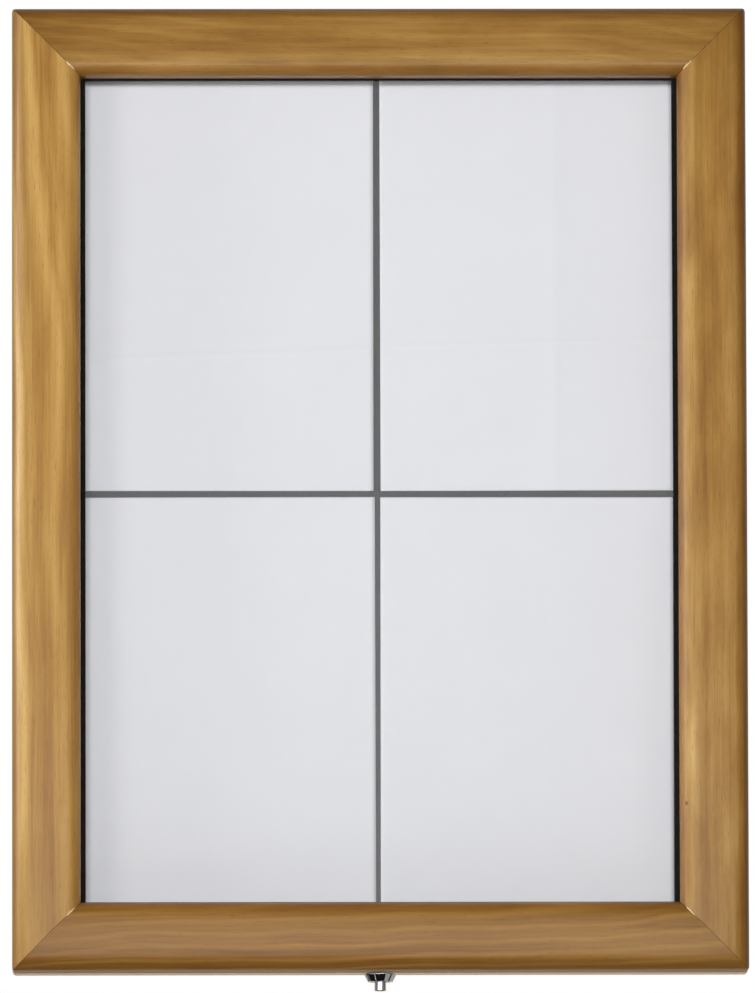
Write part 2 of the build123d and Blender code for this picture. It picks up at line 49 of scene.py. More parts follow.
# A closed or open grid: each quad joins a point with its neighbours in the next row and column.
def gridFaces(rows, columns, wrapRows=False, wrapColumns=False):
    row = np.arange(rows if wrapRows else rows - 1)
    column = np.arange(columns if wrapColumns else columns - 1)
    r, c = np.meshgrid(row, column, indexing="ij")
    rNext, cNext = (r + 1) % rows, (c + 1) % columns
    quads = np.stack([r * columns + c, r * columns + cNext, rNext * columns + cNext, rNext * columns + c], -1)
    return quads.reshape(-1, 4)


# Points and faces become a piece; normals are turned outwards, and edges sharper than the angle stay crisp.
def makePiece(name, points, faces, caps=(), sharpAngle=32, outward=True):
    mesh = bpy.data.meshes.new(name)
    mesh.from_pydata(np.asarray(points).reshape(-1, 3).tolist(), [],
                     np.asarray(faces).tolist() + [list(map(int, cap)) for cap in caps])
    if outward:
        work = bmesh.new()
        work.from_mesh(mesh)
        bmesh.ops.remove_doubles(work, verts=work.verts, dist=1e-7)
        bmesh.ops.recalc_face_normals(work, faces=work.faces)
        work.to_mesh(mesh)
        work.free()
    mesh.shade_smooth()
    mesh.set_sharp_from_angle(angle=math.radians(sharpAngle))
    piece = bpy.data.objects.new(name, mesh)
    bpy.context.scene.collection.objects.link(piece)
    return piece


def addNode(tree, kind, inputs=None, **settings):
    made = tree.nodes.new("ShaderNode" + kind)
    for key, value in settings.items():
        setattr(made, key, value)
    for key, value in (inputs or {}).items():
        if isinstance(value, bpy.types.NodeSocket):
            tree.links.new(value, made.inputs[key])
        else:
            made.inputs[key].default_value = value
    return made


def calc(tree, operation, first, second=None, third=None, clamp=False):
    inputs = {0: first}
    if second is not None:
        inputs[1] = second
    if third is not None:
        inputs[2] = third
    return addNode(tree, "Math", inputs, operation=operation, use_clamp=clamp).outputs[0]


def colourRamp(tree, amount, stops, smooth=False):
    ramp = addNode(tree, "ValToRGB", {"Fac": amount})
    ramp.color_ramp.interpolation = "EASE" if smooth else "LINEAR"
    elements = ramp.color_ramp.elements
    while len(elements) < len(stops):
        elements.new(0.5)
    for element, (place, colour) in zip(elements, stops):
        element.position = place
        element.color = (*colour, 1.0)
    return ramp.outputs["Color"]


def blendColours(tree, amount, first, second, how="MIX"):
    mix = addNode(tree, "Mix", data_type="RGBA", blend_type=how)
    for socket, value in ((mix.inputs[0], amount), (mix.inputs[6], first), (mix.inputs[7], second)):
        if isinstance(value, bpy.types.NodeSocket):
            tree.links.new(value, socket)
        else:
            socket.default_value = (*value, 1.0) if isinstance(value, tuple) else value
    return mix.outputs[2]


def noiseAt(tree, place, scale, detail=3.0, roughness=0.55):
    return addNode(tree, "TexNoise", {"Vector": place, "Scale": scale, "Detail": detail,
                                      "Roughness": roughness}).outputs["Fac"]


def stretched(tree, place, factors, offset=(0.0, 0.0, 0.0)):
    return addNode(tree, "Mapping", {"Vector": place, "Scale": factors, "Location": offset}).outputs["Vector"]


def startMaterial(name, values):
    material = bpy.data.materials.new(name)
    material.use_nodes = True
    tree = material.node_tree
    shader = tree.nodes["Principled BSDF"]
    for key, value in values.items():
        shader.inputs[key].default_value = value
    place = addNode(tree, "TexCoord").outputs["Object"]
    return material, tree, shader, place


# One for a ray from the camera, off a mirror or through glass, and nought for a ray that only lights.
def seenRay(tree):
    rays = addNode(tree, "LightPath")
    direct = calc(tree, "MAXIMUM", rays.outputs["Is Camera Ray"], rays.outputs["Is Glossy Ray"])
    return calc(tree, "MAXIMUM", direct, rays.outputs["Is Transmission Ray"])


def addBump(tree, shader, height, distance, strength):
    bump = addNode(tree, "Bump", {"Height": height, "Distance": distance, "Strength": strength})
    tree.links.new(bump.outputs["Normal"], shader.inputs["Normal"])


def dress(nodeName, material):
    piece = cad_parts[nodeName]
    piece.data.materials.clear()
    piece.data.materials.append(material)


pine = {
    "light": (0.520, 0.312, 0.094),
    "middle": (0.388, 0.210, 0.050),
    "dark": (0.186, 0.072, 0.015),
    "knot": (0.110, 0.026, 0.006),
    # Edge and corner colours darken the wood: partly stain, partly painted shade.
    "edgeStainAndShade": (0.66, 0.45, 0.10),
    "cornerStainAndShade": (0.72, 0.66, 0.44),
    # A painted highlight: this multiply lightens the wood, most in blue.
    "paintedHighlight": (1.60, 1.95, 2.90),
    "roughness": 0.36,
    "specular": 0.16,
    "coat": 0.12,
    "edgeSlope": 105.0,
    "edgeStart": 1.65,
    "cornerSlope": 9.0,
    "highlightFade": 0.6,
    "knotFlatness": 0.7,
    "knotPush": 2.4,
    "bump": 0.00012,
}


# Growth rings are the distance from a tilted heart line, bent by slow noise. Their bands are a sine of
# that distance plus a sharper saw-tooth for the late wood. Fine fibres and short pores run along the rail,
# and blotches of stain lie over them. The wood darkens towards both edges and in clouds near the rails'
# ends, partly as stain and partly as painted shade.
# Lighter bands along the shoulders are a painted highlight, a bell of the distance to each that fades
# with the square of the distance from the rail's middle. Each knot is a dark oval that pushes the rings
# aside.
def stainedPine(name, upright, middle, heart, tilt, spacing, contrast, seed, tone, reach, stainAndShade=1.0,
                blotches=0.2, highlightBands=(), knots=()):
    material, tree, shader, place = startMaterial(name, {
        "Roughness": pine["roughness"], "Specular IOR Level": pine["specular"],
        "Coat Weight": pine["coat"], "Coat Roughness": pine["roughness"], "Coat IOR": 1.5})
    parts = addNode(tree, "SeparateXYZ", {"Vector": place})
    along = parts.outputs["Z" if upright else "X"]
    across = parts.outputs["X" if upright else "Z"]
    depth = parts.outputs["Y"]
    grainPlace = addNode(tree, "CombineXYZ", {"X": along, "Y": across, "Z": depth}).outputs[0]
    shifted = stretched(tree, grainPlace, (1.0, 1.0, 1.0), (seed * 3.7, seed * 1.3, seed * 0.7))

    def wander(factors, offset, most):
        noise = noiseAt(tree, stretched(tree, shifted, factors, offset), 1.0, 2.0)
        return calc(tree, "MULTIPLY_ADD", noise, 2 * most, -most)

    slowBend = wander((2.0, 7.0, 7.0), (0.0, 0.0, 0.0), 0.020)
    bend = calc(tree, "ADD", slowBend, wander((6.5, 14.0, 14.0), (5.0, 2.0, 8.0), 0.0065))
    lift = wander((3.1, 9.0, 9.0), (7.0, 3.0, 1.0), 0.012)
    wobble = wander((20.0, 90.0, 90.0), (1.0, 6.0, 2.0), 0.0011)
    sideways = calc(tree, "SUBTRACT", across, heart[0])
    sideways = calc(tree, "ADD", calc(tree, "MULTIPLY_ADD", along, tilt[0], sideways), bend)
    below = calc(tree, "SUBTRACT", depth, heart[1])
    below = calc(tree, "ADD", calc(tree, "MULTIPLY_ADD", along, tilt[1], below), lift)
    offHeart = addNode(tree, "CombineXYZ", {"Y": sideways, "Z": below}).outputs[0]
    fromHeart = addNode(tree, "VectorMath", {0: offHeart}, operation="LENGTH").outputs["Value"]
    fromHeart = calc(tree, "ADD", fromHeart, wobble)

    knotDark = None
    for knotAlong, knotAcross, knotRadius in knots:
        offset = addNode(tree, "CombineXYZ", {
            "X": calc(tree, "MULTIPLY", calc(tree, "SUBTRACT", along, knotAlong), pine["knotFlatness"]),
            "Y": calc(tree, "SUBTRACT", across, knotAcross)}).outputs[0]
        away = addNode(tree, "VectorMath", {0: offset}, operation="LENGTH").outputs["Value"]
        near = calc(tree, "DIVIDE", away, knotRadius)
        push = calc(tree, "EXPONENT", calc(tree, "MULTIPLY", near, -0.30))
        fromHeart = calc(tree, "MULTIPLY_ADD", push, knotRadius * pine["knotPush"], fromHeart)
        spot = calc(tree, "SUBTRACT", 1.0, calc(tree, "MULTIPLY_ADD", near, 1.2, -0.6, clamp=True))
        knotDark = spot if knotDark is None else calc(tree, "MAXIMUM", knotDark, spot)

    turns = calc(tree, "DIVIDE", fromHeart, spacing)
    wave = calc(tree, "SINE", calc(tree, "MULTIPLY", turns, 2 * math.pi))
    bands = calc(tree, "MULTIPLY_ADD", wave, 0.5, 0.5)
    saw = [(0.0, (0.5,) * 3), (0.12, (0.0,) * 3), (0.60, (0.12,) * 3), (0.9, (1.0,) * 3), (1.0, (0.5,) * 3)]
    late = colourRamp(tree, calc(tree, "FRACT", turns), saw, smooth=True)
    rings = calc(tree, "ADD", calc(tree, "MULTIPLY", bands, 0.55), calc(tree, "MULTIPLY", late, 0.45))
    ringStrength = noiseAt(tree, stretched(tree, shifted, (3.0, 30.0, 30.0), (2.0, 5.0, 9.0)), 1.0, 2.0)
    rings = calc(tree, "MULTIPLY", calc(tree, "SUBTRACT", rings, 0.4),
                 calc(tree, "MULTIPLY_ADD", ringStrength, 2.0 * contrast, -0.2 * contrast))

    fibre = noiseAt(tree, stretched(tree, shifted, (22.0, 1300.0, 1300.0)), 1.0, 3.0, 0.65)
    streak = noiseAt(tree, stretched(tree, shifted, (5.0, 230.0, 230.0)), 1.0, 3.0, 0.6)
    pores = noiseAt(tree, stretched(tree, shifted, (110.0, 2300.0, 2300.0)), 1.0, 1.0)
    cloud = noiseAt(tree, stretched(tree, shifted, (2.6, 22.0, 22.0), (4.0, 4.0, 4.0)), 1.0, 3.0)
    blotch = noiseAt(tree, stretched(tree, shifted, (13.0, 42.0, 42.0), (6.0, 1.0, 3.0)), 1.0, 3.0, 0.6)

    mixed = calc(tree, "ADD", calc(tree, "MULTIPLY_ADD", streak, 0.62, 0.09), rings)
    mixed = calc(tree, "ADD", mixed, calc(tree, "MULTIPLY_ADD", fibre, 0.50, -0.25))
    mixed = calc(tree, "ADD", mixed, calc(tree, "MULTIPLY_ADD", blotch, 2 * blotches, -blotches))
    mixed = calc(tree, "ADD", mixed, calc(tree, "MULTIPLY_ADD", cloud, 0.95, -0.475), clamp=True)
    toned = [tuple(channel * share for channel, share in zip(pine[key], tone))
             for key in ("light", "middle", "dark")]
    colour = colourRamp(tree, mixed, [(0.0, toned[0]), (0.42, toned[1]), (1.0, toned[2])])
    poreDark = colourRamp(tree, pores, [(0.64, (0.0,) * 3), (0.72, (1.0,) * 3)])
    colour = blendColours(tree, calc(tree, "MULTIPLY", poreDark, 0.5), colour, toned[2])

    def tint(amount, shade):
        return blendColours(tree, amount, colour, blendColours(tree, 1.0, colour, pine[shade], "MULTIPLY"))

    # Darker towards both edges: partly stain, partly painted shade on the rounds.
    fromMiddle = calc(tree, "ABSOLUTE", calc(tree, "SUBTRACT", across, middle))
    edge = calc(tree, "MULTIPLY_ADD", fromMiddle, pine["edgeSlope"], -pine["edgeStart"], clamp=True)
    cloudy = calc(tree, "MULTIPLY_ADD", cloud, 0.9 * stainAndShade, 0.35 * stainAndShade)
    edge = calc(tree, "MULTIPLY", edge, cloudy, clamp=True)
    colour = tint(edge, "edgeStainAndShade")
    # Darker in clouds near the rails' ends: partly stain, partly painted shade.
    slope = pine["cornerSlope"]
    corner = calc(tree, "MULTIPLY_ADD", calc(tree, "ABSOLUTE", along), slope, 1.0 - slope * reach, clamp=True)
    corner = calc(tree, "MULTIPLY", corner, calc(tree, "MULTIPLY_ADD", cloud, 2.0, -0.35, clamp=True))
    colour = tint(corner, "cornerStainAndShade")
    # Painted highlight: lighter bands along the shoulders, fading towards the rails' ends.
    length = calc(tree, "DIVIDE", along, reach)
    fade = calc(tree, "MULTIPLY_ADD", calc(tree, "MULTIPLY", length, length), -pine["highlightFade"], 1.0)
    for side, width, amount in highlightBands:
        away = calc(tree, "DIVIDE", calc(tree, "SUBTRACT", middle + side, across), width)
        paintedHighlight = calc(tree, "EXPONENT", calc(tree, "MULTIPLY", calc(tree, "MULTIPLY", away, away), -1.0))
        colour = tint(calc(tree, "MULTIPLY", calc(tree, "MULTIPLY", paintedHighlight, fade), amount), "paintedHighlight")
    if knotDark is not None:
        colour = blendColours(tree, calc(tree, "MULTIPLY", knotDark, 0.85), colour, pine["knot"])
    tree.links.new(colour, shader.inputs["Base Color"])

    shine = calc(tree, "MULTIPLY_ADD", fibre, 0.16, pine["roughness"] - 0.08)
    tree.links.new(calc(tree, "MULTIPLY_ADD", rings, -0.05, shine), shader.inputs["Roughness"])
    height = calc(tree, "ADD", calc(tree, "MULTIPLY", fibre, 0.45), calc(tree, "MULTIPLY", rings, -0.5))
    addBump(tree, shader, height, pine["bump"], 0.5)
    return material


doorRails = {
    "railWidth": 0.049,
    "thickness": 0.028,
    "edgeRound": 0.011,
    "crown": 0.0005,
    "cornerRound": 0.003,
    "rebateWidth": 0.008,
    "rebateDepth": 0.0045,
    "jointGap": 0.00014,
    "softEdge": 0.00035,
    "softAngle": 38,
    "endSteps": (0.0, 0.00022, 0.0005, 0.0009, 0.0014, 0.002, 0.0026, 0.0034, 0.006),
    "plainFrom": 0.014,
    "plainCount": 41,
    "cornerReach": 1.2,
}


# The section of a rail as (inwards, outwards from the wall side) pairs: a straight outer wall, a round of
# almost a quarter turn, a very flat arc for the crowned face, the same round on the inside, and the
# rebate's steps at the back.
def railSection(v):
    half = v["railWidth"] / 2 - v["edgeRound"]
    reach = (half**2 + v["crown"]**2) / (2 * v["crown"])
    lean = math.atan2(half, reach - v["crown"])
    level = v["thickness"] - v["crown"] - v["edgeRound"]

    def arc(centre, radius, start, end, count):
        angle = np.linspace(start, end, count)
        return np.stack([centre[0] + radius * np.cos(angle), centre[1] + radius * np.sin(angle)], 1)

    quarter = math.pi / 2
    outer = arc((v["edgeRound"], level), v["edgeRound"], math.pi, quarter + lean, 15)
    face = arc((v["railWidth"] / 2, v["thickness"] - reach - v["edgeRound"]), reach + v["edgeRound"],
               quarter + lean, quarter - lean, 13)[1:-1]
    inner = arc((v["railWidth"] - v["edgeRound"], level), v["edgeRound"], quarter - lean, 0.0, 15)
    wall = np.stack([np.zeros(4), np.linspace(0.0, level, 5)[:-1]], 1)
    back = np.array([
        (v["railWidth"], v["rebateDepth"]), (v["railWidth"] - v["rebateWidth"], v["rebateDepth"]),
        (v["railWidth"] - v["rebateWidth"], 0.0)])
    return np.vstack([wall, outer, face, inner, back])


# A mitred rail: each section point runs from mitre to mitre, its length cut back by its distance from the
# outer edge, and near the outer corner it is drawn in to the corner's small round, a circle's depth at the
# distance past the round's start.
def railPiece(name, centre, alongAxis, inwardAxis, halfLength, wallLevel, v):
    section = railSection(v)
    shares = 1.0 - np.array(v["endSteps"]) / halfLength
    middle = np.linspace(-1, 1, v["plainCount"])[1:-1] * (1.0 - v["plainFrom"] / halfLength)
    share = np.concatenate([-shares, middle, shares[::-1]])
    inward, outwards = section[:, 0][None, :], section[:, 1][None, :]
    along = share[:, None] * halfLength
    radius = v["cornerRound"]
    past = np.clip(np.abs(along) - (halfLength - radius), 0.0, radius)
    drawnIn = radius - np.sqrt(np.maximum(radius**2 - past**2, 0.0))
    drawnIn = np.minimum(drawnIn, radius * (1 - math.sqrt(0.5)))
    inwardNow = np.maximum(inward, drawnIn)
    limit = halfLength - inwardNow - v["jointGap"]
    alongNow = np.clip(along * (halfLength - inward) / halfLength, -limit, limit)
    outermost = np.sign(along) * np.minimum(np.abs(along), limit)
    fullAlong = np.where(np.abs(along) > halfLength - radius * v["cornerReach"], outermost, alongNow)
    alongNow = np.where(inward < radius, fullAlong, alongNow)
    points = (np.array(centre)[None, None, :]
              + alongNow[..., None] * np.array(alongAxis)[None, None, :]
              + inwardNow[..., None] * np.array(inwardAxis)[None, None, :]
              + np.broadcast_to(wallLevel - outwards, alongNow.shape)[..., None] * np.array([0.0, 1.0, 0.0]))
    rows, columns = alongNow.shape
    faces = gridFaces(rows, columns, wrapColumns=True)
    caps = [range(columns), range((rows - 1) * columns, rows * columns)]
    piece = makePiece(name, points, faces, caps)
    soft = piece.modifiers.new("softEdges", "BEVEL")
    soft.width = v["softEdge"]
    soft.segments = 2
    soft.limit_method = "ANGLE"
    soft.angle_limit = math.radians(v["softAngle"])
    soft.harden_normals = True
    return piece


doorLow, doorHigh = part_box("door_stile_left")
wallLevel = doorHigh[1]
halfWidth = -doorLow[0]
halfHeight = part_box("door_rail_top")[1][2]
middleX, middleZ = halfWidth - doorRails["railWidth"] / 2, halfHeight - doorRails["railWidth"] / 2
# Each rail's shoulder bands are a painted highlight; its edge amount darkens the edges with stain and painted
# shade.
woods = {
    "doorTopRail": ("door_rail_top", (0, 0, halfHeight), (1, 0, 0), (0, 0, -1), halfWidth, {
        "upright": False, "middle": middleZ, "heart": (halfHeight + 0.030, 0.040), "tilt": (0.02, 0.03),
        "spacing": 0.0050, "contrast": 0.42, "seed": 1.0, "tone": (0.725, 0.66, 0.555), "stainAndShade": 0.72,
        "blotches": 0.45, "highlightBands": ((-0.0124, 0.0038, 0.46),)}),
    "doorBottomRail": ("door_rail_bottom", (0, 0, -halfHeight), (1, 0, 0), (0, 0, 1), halfWidth, {
        "upright": False, "middle": -middleZ, "heart": (-halfHeight - 0.060, 0.010), "tilt": (-0.02, 0.02),
        "spacing": 0.0078, "contrast": 0.95, "seed": 2.0, "tone": (0.655, 0.56, 0.37), "stainAndShade": 0.42}),
    "doorLeftStile": ("door_stile_left", (-halfWidth, 0, 0), (0, 0, 1), (1, 0, 0), halfHeight, {
        "upright": True, "middle": -middleX, "heart": (-halfWidth - 0.045, 0.030), "tilt": (0.07, 0.02),
        "spacing": 0.0165, "contrast": 1.25, "seed": 3.0, "tone": (1.06, 1.05, 1.04), "stainAndShade": 0.35,
        "highlightBands": ((-0.0190, 0.0084, 0.37),)}),
    "doorRightStile": ("door_stile_right", (halfWidth, 0, 0), (0, 0, 1), (-1, 0, 0), halfHeight, {
        "upright": True, "middle": middleX, "heart": (halfWidth + 0.050, 0.020), "tilt": (-0.012, 0.02),
        "spacing": 0.0090, "contrast": 0.34, "seed": 4.0, "tone": (0.875, 0.82, 0.74), "blotches": 0.6,
        "highlightBands": ((-0.0184, 0.0056, 0.95), (0.0138, 0.0032, 0.14)),
        "knots": ((-0.227, 0.2185, 0.0011),)}),
}
for name, (nodeName, centre, alongAxis, inwardAxis, halfLength, grain) in woods.items():
    rail = railPiece(name, centre, alongAxis, inwardAxis, halfLength, wallLevel, doorRails)
    rail.data.materials.append(stainedPine(name + "Wood", reach=halfLength, **grain))
    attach(rail, "door")
    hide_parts(nodeName)


mitreBead = {
    "from": 0.0384,
    "to": 0.0452,
    "radius": 0.00085,
    "tip": 1e-6,
    "sink": 0.00036,
    "steps": 23,
    "around": 12,
    "leftOut": 4,  # the section's last points, which lie in and right above the rebate
}


# A short bead on each inner mitre, as pooled finish that also carries a painted glint: a tube carried along
# the mitre over the inner round, whose radius is the root of a half sine, so that it closes to a point at
# both ends.
def mitreBeads(name, v, rail):
    front = railSection(rail)[:-v["leftOut"]]
    inward = np.linspace(v["from"], v["to"], v["steps"])
    order = np.argsort(front[:, 0])
    outwards = np.interp(inward, front[order, 0], front[order, 1]) - v["sink"]
    angle = np.arange(v["around"]) * (2 * math.pi / v["around"])
    halfSine = np.sin(np.linspace(0, math.pi, v["steps"]))
    radius = v["radius"] * np.sqrt(np.maximum(halfSine, 0.0)) + v["tip"]
    slope = np.arctan2(np.gradient(outwards), np.gradient(inward) * math.sqrt(2))
    points, faces, caps = [], [], []
    for signX, signZ in ((-1, 1), (1, 1), (-1, -1), (1, -1)):
        path = np.stack([signX * (halfWidth - inward), wallLevel - outwards,
                         signZ * (halfHeight - inward)], -1)
        sideways = np.array([signX, 0.0, -signZ]) / math.sqrt(2)
        up = np.stack([signX * np.sin(slope) / math.sqrt(2), -np.cos(slope),
                       signZ * np.sin(slope) / math.sqrt(2)], -1)
        turn = np.cos(angle)[None, :, None] * sideways + np.sin(angle)[None, :, None] * up[:, None, :]
        first = len(points) * v["steps"] * v["around"]
        last = first + (v["steps"] - 1) * v["around"]
        points.append((path[:, None, :] + radius[:, None, None] * turn).reshape(-1, 3))
        faces.append(gridFaces(v["steps"], v["around"], wrapColumns=True) + first)
        caps += [range(first, first + v["around"]), range(last, last + v["around"])]
    return makePiece(name, np.vstack(points), np.vstack(faces), caps)


# Pooled finish with a painted glint: a pale amber film over the stain, lighter than the wood, glossy, with a
# faint cloud.
def pooledFinishGlint():
    material, tree, shader, place = startMaterial("pooledFinishGlint", {
        "Roughness": 0.22, "Specular IOR Level": 0.6, "Coat Weight": 0.5, "Coat Roughness": 0.12})
    cloud = noiseAt(tree, place, 900.0, 3.0)
    # Pale amber, lighter than the wood: a painted glint.
    tree.links.new(colourRamp(tree, cloud, [(0.25, (0.55, 0.36, 0.17)), (0.75, (0.74, 0.54, 0.32))]),
                   shader.inputs["Base Color"])
    addBump(tree, shader, cloud, 0.00003, 0.4)
    return material


beads = mitreBeads("mitreBeads", mitreBead, doorRails)
beads.data.materials.append(pooledFinishGlint())
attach(beads, "door")
print("door rails made")


paper = {
    "colour": (0.775, 0.780, 0.819),
    "width": 0.210,
    "height": 0.297,
    "thickness": 0.00012,
    "lift": 0.00025,
    "creaseHeight": 0.0007,
    "creaseReach": 0.020,
    "foldHeight": 0.00045,
    "foldReach": 0.0016,
    "ripple": 0.00006,
    "columns": 71,
    "rows": 221,
}


# A sheet is a flat grid that rises a little towards each crease, as height times the falling exponential of
# the distance to it, with a narrow bell-shaped ridge along the fold itself. It bows very slightly as the
# product of two half sine waves, and has a faint slanting ripple, the sine of a sum of both directions.
def paperSheet(name, nodeName, skew, creases, bow, v):
    low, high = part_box(nodeName)
    middle = (low + high) / 2
    u, w = np.meshgrid(np.linspace(-0.5, 0.5, v["columns"]), np.linspace(-0.5, 0.5, v["rows"]), indexing="ij")
    x, z = u * v["width"], w * v["height"]
    rise = np.full_like(x, v["lift"])
    for fromX, fromZ, slopeX, slopeZ, amount in creases:
        away = np.abs((x - fromX) * -slopeZ + (z - fromZ) * slopeX) / math.hypot(slopeX, slopeZ)
        rise = rise + v["creaseHeight"] * amount * np.exp(-away / v["creaseReach"])
        rise = rise + v["foldHeight"] * amount * np.exp(-(away / v["foldReach"])**2)
    rise = rise + bow * np.sin(math.pi * (u + 0.5)) * np.sin(math.pi * (w + 0.5))
    rise = rise + v["ripple"] * (1 + np.sin(x * 71.0 + z * 23.0 + len(name)))
    turn = math.radians(skew)
    points = np.stack([middle[0] + x * math.cos(turn) - z * math.sin(turn),
                       np.full_like(x, high[1]) - rise,
                       middle[2] + x * math.sin(turn) + z * math.cos(turn)], -1)
    sheet = makePiece(name, points, gridFaces(*x.shape), outward=False, sharpAngle=60)
    shell = sheet.modifiers.new("paperThickness", "SOLIDIFY")
    shell.thickness = v["thickness"]
    shell.offset = 0.0
    return sheet


# Paper is a soft white with a cloudy pulp pattern, fine fibres in the bump and a faint sheen.
def whitePaper():
    material, tree, shader, place = startMaterial("whitePaper", {
        "Roughness": 0.78, "Specular IOR Level": 0.3, "Sheen Weight": 0.05})
    pulp = noiseAt(tree, place, 260.0, 4.0)
    cloud = noiseAt(tree, place, 14.0, 3.0)
    fibres = noiseAt(tree, stretched(tree, place, (1500.0, 1500.0, 5200.0)), 1.0, 2.0)
    mixed = calc(tree, "ADD", calc(tree, "MULTIPLY", pulp, 0.5), calc(tree, "MULTIPLY", cloud, 0.5))
    darker, lighter = (tuple(channel * share for channel in paper["colour"]) for share in (0.975, 1.02))
    tree.links.new(colourRamp(tree, mixed, [(0.25, darker), (0.75, lighter)]), shader.inputs["Base Color"])
    tree.links.new(calc(tree, "MULTIPLY_ADD", pulp, 0.12, 0.72), shader.inputs["Roughness"])
    addBump(tree, shader, calc(tree, "ADD", pulp, calc(tree, "MULTIPLY", fibres, 0.6)), 0.00002, 0.5)
    return material


paperMaterial = whitePaper()
sheetFolds = {
    "sheetTopLeft": ("sheet_top_left", -0.048, [(0.0, -0.050, 1.0, 0.036, 1.0)], 0.0005),
    "sheetTopRight": ("sheet_top_right", 0.06,
                      [(0.0, -0.042, 1.0, 0.022, 0.8), (0.020, 0.0, 0.0, 1.0, 0.8)], 0.0004),
    "sheetBottomLeft": ("sheet_bottom_left", 0.06, [(0.0, -0.048, 1.0, 0.0, 0.35)], 0.0006),
    "sheetBottomRight": ("sheet_bottom_right", -0.06, [(0.0, -0.046, 1.0, 0.0, 0.3)], 0.0008),
}
for name, (nodeName, skew, creases, bow) in sheetFolds.items():
    sheet = paperSheet(name, nodeName, skew, creases, bow, paper)
    sheet.data.materials.append(paperMaterial)
    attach(sheet, "case")
    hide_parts(nodeName)
print("sheets made")


# The pane is clear, lets lamp light straight through to the sheets, and has a hint of green and of dust.
def clearPane():
    material, tree, shader, place = startMaterial("clearPane", {
        "Base Color": (0.99, 0.993, 0.99, 1.0), "Transmission Weight": 1.0, "IOR": 1.42, "Roughness": 0.0})
    wipe = noiseAt(tree, stretched(tree, place, (9.0, 9.0, 30.0)), 1.0, 3.0)
    tree.links.new(calc(tree, "MULTIPLY_ADD", wipe, 0.012, 0.0, clamp=True), shader.inputs["Roughness"])
    addBump(tree, shader, noiseAt(tree, place, 3.0, 1.0), 0.00002, 0.2)
    through = addNode(tree, "BsdfTransparent", {"Color": (0.975, 0.976, 0.977, 1.0)})
    rays = addNode(tree, "LightPath")
    lighting = calc(tree, "MAXIMUM", rays.outputs["Is Shadow Ray"], rays.outputs["Is Diffuse Ray"])
    mix = addNode(tree, "MixShader", {0: lighting, 1: shader.outputs[0], 2: through.outputs[0]})
    tree.links.new(mix.outputs[0], tree.nodes["Material Output"].inputs["Surface"])
    return material


# Rubber and foam are near black with a mottled tone; foam has open cells from a fine Voronoi pattern.
def blackRubber():
    material, tree, shader, place = startMaterial("blackRubber", {
        "Roughness": 0.62, "Specular IOR Level": 0.04})
    mottle = noiseAt(tree, place, 180.0, 4.0)
    colour = colourRamp(tree, mottle, [(0.3, (0.0050, 0.0046, 0.0038)), (0.75, (0.0135, 0.0125, 0.0105))])
    tree.links.new(colour, shader.inputs["Base Color"])
    tree.links.new(calc(tree, "MULTIPLY_ADD", mottle, 0.2, 0.5), shader.inputs["Roughness"])
    addBump(tree, shader, mottle, 0.00006, 0.5)
    return material


def blackFoam():
    material, tree, shader, place = startMaterial("blackFoam", {
        "Roughness": 0.92, "Specular IOR Level": 0.2})
    cells = addNode(tree, "TexVoronoi", {"Vector": place, "Scale": 1400.0}).outputs["Distance"]
    mottle = noiseAt(tree, place, 420.0, 4.0)
    tree.links.new(colourRamp(tree, cells, [(0.1, (0.008, 0.008, 0.009)), (0.7, (0.045, 0.045, 0.048))]),
                   shader.inputs["Base Color"])
    tree.links.new(calc(tree, "MULTIPLY_ADD", mottle, 0.12, 0.84), shader.inputs["Roughness"])
    addBump(tree, shader, calc(tree, "ADD", cells, mottle), 0.0003, 0.8)
    return material


dress("glazing_pane", clearPane())
dress("pane_gasket", blackRubber())
dress("case_seal", blackFoam())
print("pane, gasket and seal dressed")


# Beech biscuits: pale compressed wood with short diagonal fibres.
def pressedBeech():
    material, tree, shader, place = startMaterial("pressedBeech", {
        "Roughness": 0.7, "Specular IOR Level": 0.25})
    slanted = addNode(tree, "Mapping", {"Vector": place, "Rotation": (0.0, math.radians(38), 0.0),
                                        "Scale": (60.0, 900.0, 900.0)}).outputs["Vector"]
    fibre = noiseAt(tree, slanted, 1.0, 4.0, 0.65)
    flecks = noiseAt(tree, stretched(tree, place, (500.0, 500.0, 1500.0)), 1.0, 2.0)
    shade = calc(tree, "ADD", calc(tree, "MULTIPLY", fibre, 0.7), calc(tree, "MULTIPLY", flecks, 0.3))
    stops = [(0.25, (0.56, 0.36, 0.20)), (0.55, (0.44, 0.26, 0.13)), (0.8, (0.27, 0.14, 0.06))]
    tree.links.new(colourRamp(tree, shade, stops), shader.inputs["Base Color"])
    addBump(tree, shader, fibre, 0.00005, 0.5)
    return material


# Anodised aluminium: satin grey metal with die lines along the rail and small handling marks.
def anodisedAluminium(name, upright):
    material, tree, shader, place = startMaterial(name, {"Metallic": 1.0, "Roughness": 0.38})
    factors = (2600.0, 2600.0, 4.0) if upright else (4.0, 2600.0, 2600.0)
    lines = noiseAt(tree, stretched(tree, place, factors), 1.0, 3.0)
    cloud = noiseAt(tree, place, 22.0, 4.0)
    marks = noiseAt(tree, stretched(tree, place, (60.0, 240.0, 240.0)), 1.0, 5.0, 0.7)
    shade = calc(tree, "ADD", calc(tree, "MULTIPLY", lines, 0.6), calc(tree, "MULTIPLY", cloud, 0.4))
    tree.links.new(colourRamp(tree, shade, [(0.25, (0.50, 0.505, 0.515)), (0.75, (0.66, 0.665, 0.675))]),
                   shader.inputs["Base Color"])
    tree.links.new(calc(tree, "MULTIPLY_ADD", marks, 0.22, 0.26), shader.inputs["Roughness"])
    addBump(tree, shader, calc(tree, "ADD", lines, calc(tree, "MULTIPLY", marks, 0.4)), 0.00002, 0.5)
    return material


